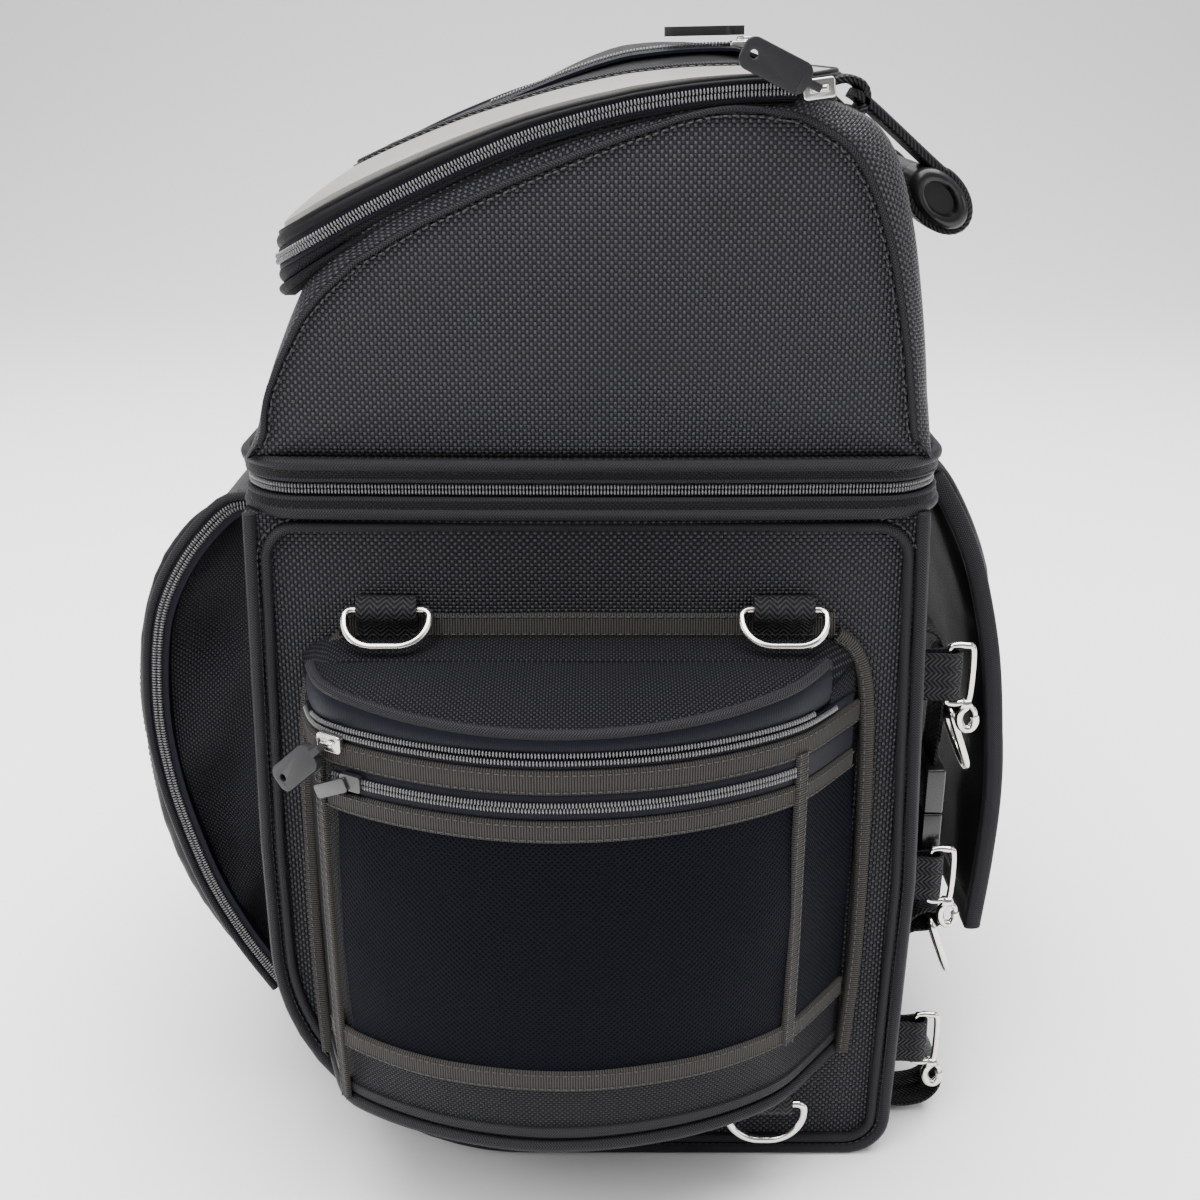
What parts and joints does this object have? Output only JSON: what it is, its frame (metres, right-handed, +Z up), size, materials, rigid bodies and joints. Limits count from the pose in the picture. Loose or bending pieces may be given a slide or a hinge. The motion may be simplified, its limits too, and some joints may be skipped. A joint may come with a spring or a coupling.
{
  "type": "motorcycle tail bag",
  "caption": "Two-tier soft tail bag with a hinged domed lid, side and front pockets, ring tie-downs and a padded sleeve that slips over a sissy bar.",
  "frame": {"origin": "centre of the base, on its underside, at mount base_rest", "axes": "+Z up; +X towards the back, where the sissy-bar sleeve is; -Y is the near side, with the side pocket seen from there"},
  "size_m": [0.4044, 0.48, 0.5085],
  "materials": {
    "ballistic_nylon": "woven ballistic nylon, near black with a cool sheen",
    "smooth_nylon": "smooth padded nylon, near black",
    "grosgrain": "ribbed binding tape, warm dark grey",
    "mesh": "fine navy-black mesh",
    "zip_tape": "navy-black zip tape with a coil",
    "piping": "twill-covered piping cord",
    "reflective": "warm light grey reflective band",
    "webbing": "herringbone polyester webbing",
    "ring_wire": "bright nickel-plated wire",
    "slider_metal": "plated die-cast slider",
    "slider_black": "black enamelled slider",
    "pull_rubber": "matte dark grey moulded rubber",
    "grip_rubber": "smooth black moulded rubber",
    "buckle_plastic": "black acetal",
    "board": "black polyethylene stiffener board"
  },
  "bodies": {
    "lower_case": {"back_tabs": "webbing", "base_board": "board", "base_panel": "smooth_nylon", "buckle_sockets": "buckle_plastic", "front_gussets": "smooth_nylon", "lower_back": "smooth_nylon", "lower_case_zips": "zip_tape", "lower_front": "smooth_nylon", "lower_piping": "piping", "lower_rim": "smooth_nylon", "lower_side_far": "ballistic_nylon", "lower_side_near": "ballistic_nylon", "mesh_panels": "mesh", "rear_straps": "webbing", "ring_tabs": "webbing", "side_pocket_far": "ballistic_nylon", "side_pocket_near": "ballistic_nylon", "sissy_bar_sleeve": "smooth_nylon"},
    "upper_case": {"upper_side_near": "ballistic_nylon", "upper_side_far": "ballistic_nylon", "upper_front": "smooth_nylon", "upper_back": "smooth_nylon", "divider_panel": "smooth_nylon", "upper_rim": "smooth_nylon", "upper_case_zips": "zip_tape", "upper_piping": "piping", "handle_anchors": "webbing"},
    "handle": {"handle_straps": "webbing", "handle_grip": "grip_rubber"},
    "lid": {"lid_panel": "smooth_nylon", "lid_pad": "smooth_nylon", "lid_border": "reflective", "lid_zips": "zip_tape"},
    "belt_slider": {"belt_slider": "slider_metal"},
    "belt_pull": {"belt_pull": "pull_rubber"},
    "lid_slider": {"lid_slider": "slider_metal"},
    "lid_pull": {"lid_pull": "pull_rubber"},
    "top_slider": {"top_slider": "slider_metal"},
    "top_pull": {"top_pull": "pull_rubber"},
    "pocket_slider_near": {"pocket_slider_near": "slider_metal"},
    "pocket_pull_near": {"pocket_pull_near": "pull_rubber"},
    "pocket_slider_far": {"pocket_slider_far": "slider_metal"},
    "pocket_pull_far": {"pocket_pull_far": "pull_rubber"},
    "mesh_slider_near": {"mesh_slider_near": "slider_black"},
    "mesh_slider_far": {"mesh_slider_far": "slider_black"},
    "front_slider": {"front_slider": "slider_metal"},
    "front_pull": {"front_pull": "pull_rubber"},
    "pocket_lid_near": {"pocket_lid_near": "ballistic_nylon"},
    "pocket_lid_far": {"pocket_lid_far": "ballistic_nylon"},
    "front_door": {"front_door": "smooth_nylon"},
    "rings_near": {"rings_near": "ring_wire"},
    "rings_far": {"rings_far": "ring_wire"},
    "base_ring_near": {"base_ring_near": "ring_wire"},
    "base_ring_far": {"base_ring_far": "ring_wire"},
    "rear_rings_upper": {"rear_rings_upper": "ring_wire"},
    "rear_rings_lower": {"rear_rings_lower": "ring_wire"},
    "snap_hooks_near": {"snap_hooks_near": "ring_wire"},
    "snap_hooks_far": {"snap_hooks_far": "ring_wire"},
    "buckle_plug_near": {"buckle_plug_near": "buckle_plastic"},
    "buckle_plug_far": {"buckle_plug_far": "buckle_plastic"}
  },
  "joints": [
    {"name": "upper_case_hinge", "type": "hinge", "parent": "lower_case", "child": "upper_case", "pos_m": [0.1422, 0, 0.33475], "axis": [0, 1, 0], "range_deg": [0, 80]},
    {"name": "lid_hinge", "type": "hinge", "parent": "upper_case", "child": "lid", "pos_m": [0.098, 0, 0.48767], "axis": [0, 1, 0], "range_deg": [0, 95]},
    {"name": "handle_hinge", "type": "hinge", "parent": "upper_case", "child": "handle", "pos_m": [0.113, 0, 0.479], "axis": [0, -1, 0], "range_deg": [0, 100]},
    {"name": "belt_zip", "type": "slide", "parent": "lower_case", "child": "belt_slider", "axis": [1, 0, 0], "range_m": [0, 0.19]},
    {"name": "belt_pull_hinge", "type": "hinge", "parent": "belt_slider", "child": "belt_pull", "pos_m": [-0.096, 0.1791, 0.33475], "axis": [0, 0, -1], "range_deg": [0, 140]},
    {"name": "lid_zip", "type": "hinge", "parent": "upper_case", "child": "lid_slider", "pos_m": [0.14637, 0, 0.00667], "axis": [0, -1, 0], "range_deg": [0, 20]},
    {"name": "lid_pull_hinge", "type": "hinge", "parent": "lid_slider", "child": "lid_pull", "pos_m": [0.084, -0.1776, 0.48626], "axis": [-0.129, 0, 0.9917], "range_deg": [0, 140]},
    {"name": "top_zip", "type": "hinge", "parent": "lid", "child": "top_slider", "pos_m": [0.06737, 0, 0.23457], "axis": [0, -1, 0], "range_deg": [0, 22]},
    {"name": "top_pull_hinge", "type": "hinge", "parent": "top_slider", "child": "top_pull", "pos_m": [0.06185, -0.108, 0.50669], "axis": [0, 1, 0], "range_deg": [0, 140]},
    {"name": "front_zip", "type": "hinge", "parent": "lower_case", "child": "front_slider", "pos_m": [-0.02245, 0, 0.19502], "axis": [0, -1, 0], "range_deg": [0, 48]},
    {"name": "front_pull_hinge", "type": "hinge", "parent": "front_slider", "child": "front_pull", "pos_m": [-0.18209, 0.1441, 0.262], "axis": [0.9247, 0, -0.3808], "range_deg": [0, 140]},
    {"name": "front_door_hinge", "type": "hinge", "parent": "lower_case", "child": "front_door", "pos_m": [-0.14689, 0, 0.07], "axis": [0, -1, 0], "range_deg": [0, 60]},
    {"name": "pocket_lid_hinge_near", "type": "hinge", "parent": "lower_case", "child": "pocket_lid_near", "pos_m": [0, -0.19, 0.26659], "axis": [-1, 0, 0], "range_deg": [0, 60]},
    {"name": "pocket_zip_near", "type": "hinge", "parent": "lower_case", "child": "pocket_slider_near", "pos_m": [-0.012, -0.072, 0], "axis": [0, 0, 1], "range_deg": [0, 62]},
    {"name": "pocket_pull_hinge_near", "type": "hinge", "parent": "pocket_slider_near", "child": "pocket_pull_near", "pos_m": [-0.10607, -0.22028, 0.2425], "axis": [0, 0, 1], "range_deg": [0, 130]},
    {"name": "mesh_zip_near", "type": "hinge", "parent": "lower_case", "child": "mesh_slider_near", "pos_m": [-0.012, -0.072, 0], "axis": [0, 0, 1], "range_deg": [0, 57]},
    {"name": "ring_hinge_near", "type": "hinge", "parent": "lower_case", "child": "rings_near", "pos_m": [0, -0.175, 0.283], "axis": [-1, 0, 0], "range_deg": [0, 120]},
    {"name": "base_ring_hinge_near", "type": "hinge", "parent": "lower_case", "child": "base_ring_near", "pos_m": [0.079, -0.2, 0.0525], "axis": [1, 0, 0], "range_deg": [-75, 75]},
    {"name": "snap_hook_hinge_near", "type": "hinge", "parent": "lower_case", "child": "snap_hooks_near", "pos_m": [0.156, -0.1525, 0], "axis": [0, 0, -1], "range_deg": [0, 75]},
    {"name": "buckle_release_near", "type": "slide", "parent": "lower_case", "child": "buckle_plug_near", "axis": [0, 0, -1], "range_m": [0, 0.02]},
    {"name": "pocket_lid_hinge_far", "type": "hinge", "parent": "lower_case", "child": "pocket_lid_far", "pos_m": [0, 0.19, 0.26659], "axis": [1, 0, 0], "range_deg": [0, 60]},
    {"name": "pocket_zip_far", "type": "hinge", "parent": "lower_case", "child": "pocket_slider_far", "pos_m": [-0.012, 0.072, 0], "axis": [0, 0, -1], "range_deg": [0, 62]},
    {"name": "pocket_pull_hinge_far", "type": "hinge", "parent": "pocket_slider_far", "child": "pocket_pull_far", "pos_m": [-0.10607, 0.22028, 0.2425], "axis": [0, 0, -1], "range_deg": [0, 130]},
    {"name": "mesh_zip_far", "type": "hinge", "parent": "lower_case", "child": "mesh_slider_far", "pos_m": [-0.012, 0.072, 0], "axis": [0, 0, -1], "range_deg": [0, 57]},
    {"name": "ring_hinge_far", "type": "hinge", "parent": "lower_case", "child": "rings_far", "pos_m": [0, 0.175, 0.283], "axis": [1, 0, 0], "range_deg": [0, 120]},
    {"name": "base_ring_hinge_far", "type": "hinge", "parent": "lower_case", "child": "base_ring_far", "pos_m": [0.079, 0.2, 0.0525], "axis": [1, 0, 0], "range_deg": [-75, 75]},
    {"name": "snap_hook_hinge_far", "type": "hinge", "parent": "lower_case", "child": "snap_hooks_far", "pos_m": [0.156, 0.1525, 0], "axis": [0, 0, 1], "range_deg": [0, 75]},
    {"name": "buckle_release_far", "type": "slide", "parent": "lower_case", "child": "buckle_plug_far", "axis": [0, 0, -1], "range_m": [0, 0.02]},
    {"name": "rear_ring_hinge_upper", "type": "hinge", "parent": "lower_case", "child": "rear_rings_upper", "pos_m": [0.161, 0, 0.222], "axis": [0, -1, 0], "range_deg": [0, 95]},
    {"name": "rear_ring_hinge_lower", "type": "hinge", "parent": "lower_case", "child": "rear_rings_lower", "pos_m": [0.161, 0, 0.112], "axis": [0, -1, 0], "range_deg": [0, 95]}
  ]
}
